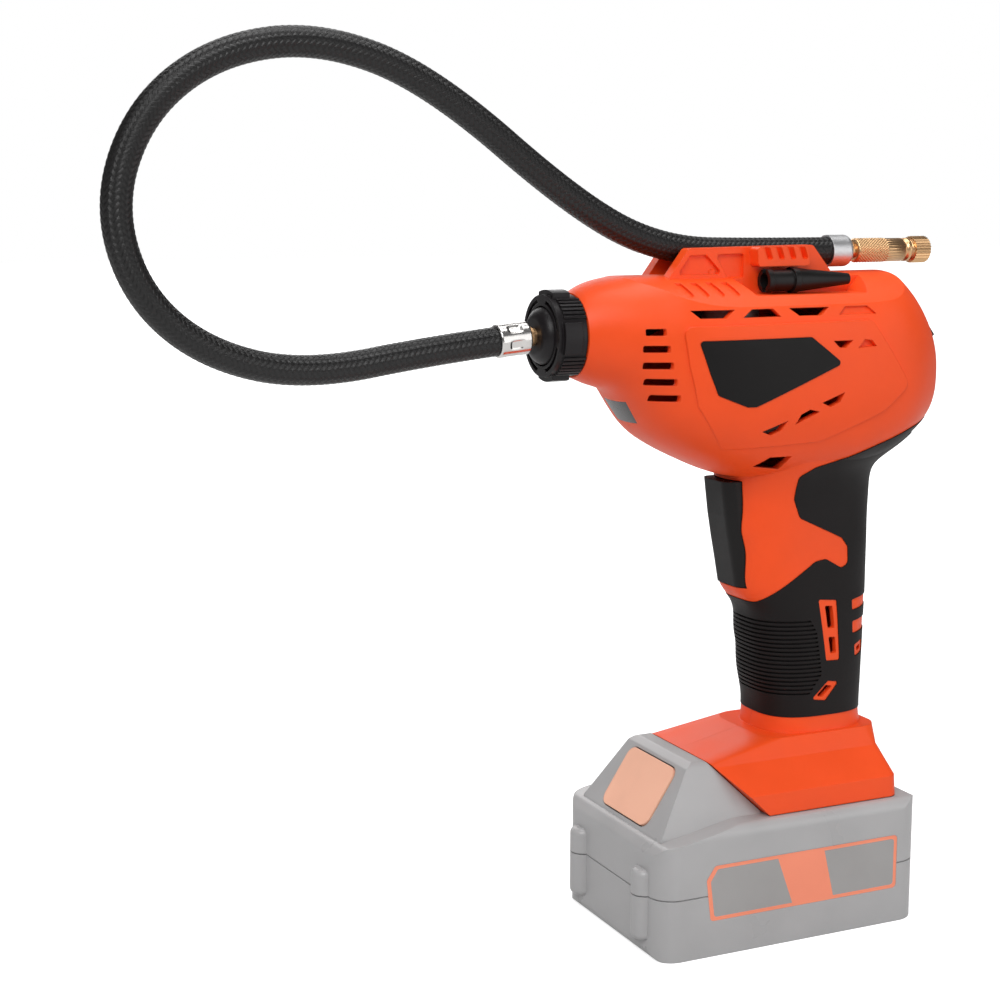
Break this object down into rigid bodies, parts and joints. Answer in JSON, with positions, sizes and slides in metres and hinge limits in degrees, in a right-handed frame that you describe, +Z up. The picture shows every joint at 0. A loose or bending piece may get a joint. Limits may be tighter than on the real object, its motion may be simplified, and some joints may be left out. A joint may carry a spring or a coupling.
{
  "type": "portable tire inflator",
  "caption": "Cordless pistol-grip tire inflator with a looped air hose clipped over its barrel, a knurled air chuck and a slide-on battery pack.",
  "frame": {"origin": "on the battery pack's flat bottom face, in the middle plane, close to the pack's centre", "axes": "+Z up along the handle, -X towards the nose where the hose leaves, +Y to the side away from the adapter's pocket"},
  "size_m": [0.3156, 0.075, 0.3244],
  "materials": {
    "orange_plastic": "fine-textured satin",
    "black_rubber": "soft matt overmould",
    "black_plastic": "satin",
    "badge_plastic": "fine satin",
    "lens_plastic": "smoked gloss",
    "zinc_steel": "zinc plated",
    "steel": "ground",
    "ferrule_steel": "bright, crimped",
    "ferrule_aluminium": "matt",
    "cast_aluminium": "die cast",
    "brass": "satin, knurled",
    "hose_rubber": "woven cover",
    "seal_rubber": "matt",
    "white_plastic": "satin",
    "clear_plastic": "clear, dark",
    "board_green": "solder mask",
    "copper": "bright",
    "pack_grey": "satin",
    "button_peach": "satin",
    "label_grey": "satin",
    "label_orange": "satin",
    "cell_wrap": "plastic wrap over metal can"
  },
  "bodies": {
    "tool": {"housing_left": "orange_plastic", "housing_right": "orange_plastic", "grip_left": "black_rubber", "grip_right": "black_rubber", "badge_left": "badge_plastic", "badge_right": "badge_plastic", "housing_screws": "zinc_steel", "led_lens": "lens_plastic", "led_board": "board_green", "outlet_block": "cast_aluminium", "outlet_dome": "black_plastic", "hose_nipple": "brass", "front_ferrule": "ferrule_steel", "hose": "hose_rubber", "rear_ferrule": "ferrule_aluminium", "chuck_neck": "brass", "chuck_body": "brass", "chuck_seal": "seal_rubber", "chuck_pin": "brass", "trigger_spring": "steel", "trigger_switch": "black_plastic", "motor_can": "zinc_steel", "motor_end_cap": "black_plastic", "gear_plate": "zinc_steel", "gear_axle": "steel", "gear_washer": "steel", "cylinder": "cast_aluminium", "outlet_valve": "steel", "cylinder_head": "cast_aluminium", "air_tube": "seal_rubber", "display_bezel": "black_plastic", "display_window": "clear_plastic", "display_board": "board_green", "control_board": "board_green", "terminal_block": "black_plastic", "terminal_blades": "copper"},
    "trigger": {"trigger": "black_plastic"},
    "collar": {"collar": "black_plastic"},
    "crank": {"crank_gear": "white_plastic"},
    "rotor": {"rotor_shaft": "steel", "rotor_core": "steel", "cooling_fan": "black_plastic", "pinion": "steel"},
    "piston": {"connecting_rod": "cast_aluminium", "crank_pin": "steel", "piston_seal": "seal_rubber"},
    "battery": {"battery_lower": "pack_grey", "battery_upper": "pack_grey", "battery_screws": "zinc_steel", "battery_contacts": "copper", "cells": "cell_wrap", "label_trim": "label_orange", "battery_labels": "label_grey", "button_spring": "steel"},
    "release": {"battery_button": "button_peach"},
    "chuck_end": {"chuck_nut": "brass"},
    "adapter": {"adapter_nozzle": "black_plastic"},
    "key_minus": {"button_minus": "black_rubber"},
    "key_unit": {"button_unit": "black_rubber"},
    "key_plus": {"button_plus": "black_rubber"}
  },
  "joints": [
    {"name": "trigger_pull", "type": "slide", "parent": "tool", "child": "trigger", "axis": [1, 0, 0], "range_m": [0, 0.006], "stiffness_N_per_m": 900, "springref_m": -0.004, "deforming": ["trigger_spring"]},
    {"name": "collar_turn", "type": "hinge", "parent": "tool", "child": "collar", "pos_m": [-0.0782, 0, 0.222], "axis": [1, 0, 0], "range_deg": [0, 60]},
    {"name": "crank_spin", "type": "hinge", "parent": "tool", "child": "crank", "pos_m": [0.0055, 0, 0.188], "axis": [1, 0, 0], "continuous": true},
    {"name": "rotor_spin", "type": "hinge", "parent": "tool", "child": "rotor", "pos_m": [0.034, 0, 0.204], "axis": [1, 0, 0], "continuous": true},
    {"name": "piston_slide", "type": "slide", "parent": "tool", "child": "piston", "axis": [0, 0, 1], "range_m": [0, 0.01]},
    {"name": "battery_slide", "type": "slide", "parent": "tool", "child": "battery", "axis": [-1, 0, 0], "range_m": [0, 0.065]},
    {"name": "release_press", "type": "slide", "parent": "battery", "child": "release", "axis": [0.8371, 0, -0.5471], "range_m": [0, 0.0035], "stiffness_N_per_m": 1200, "springref_m": -0.002, "deforming": ["button_spring"]},
    {"name": "chuck_turn", "type": "hinge", "parent": "tool", "child": "chuck_end", "pos_m": [0.074, 0, 0.2496], "axis": [1, 0, 0], "continuous": true},
    {"name": "adapter_out", "type": "slide", "parent": "tool", "child": "adapter", "axis": [0, -1, 0], "range_m": [0, 0.014]},
    {"name": "minus_press", "type": "slide", "parent": "tool", "child": "key_minus", "axis": [-0.7986, 0, -0.6018], "range_m": [0, 0.0008], "stiffness_N_per_m": 800, "springref_m": -0.0005},
    {"name": "unit_press", "type": "slide", "parent": "tool", "child": "key_unit", "axis": [-0.7986, 0, -0.6018], "range_m": [0, 0.0008], "stiffness_N_per_m": 800, "springref_m": -0.0005},
    {"name": "plus_press", "type": "slide", "parent": "tool", "child": "key_plus", "axis": [-0.7986, 0, -0.6018], "range_m": [0, 0.0008], "stiffness_N_per_m": 800, "springref_m": -0.0005}
  ],
  "couplings": [
    {"joint": "crank_spin", "follows": "rotor_spin", "ratio": -0.33333}
  ]
}
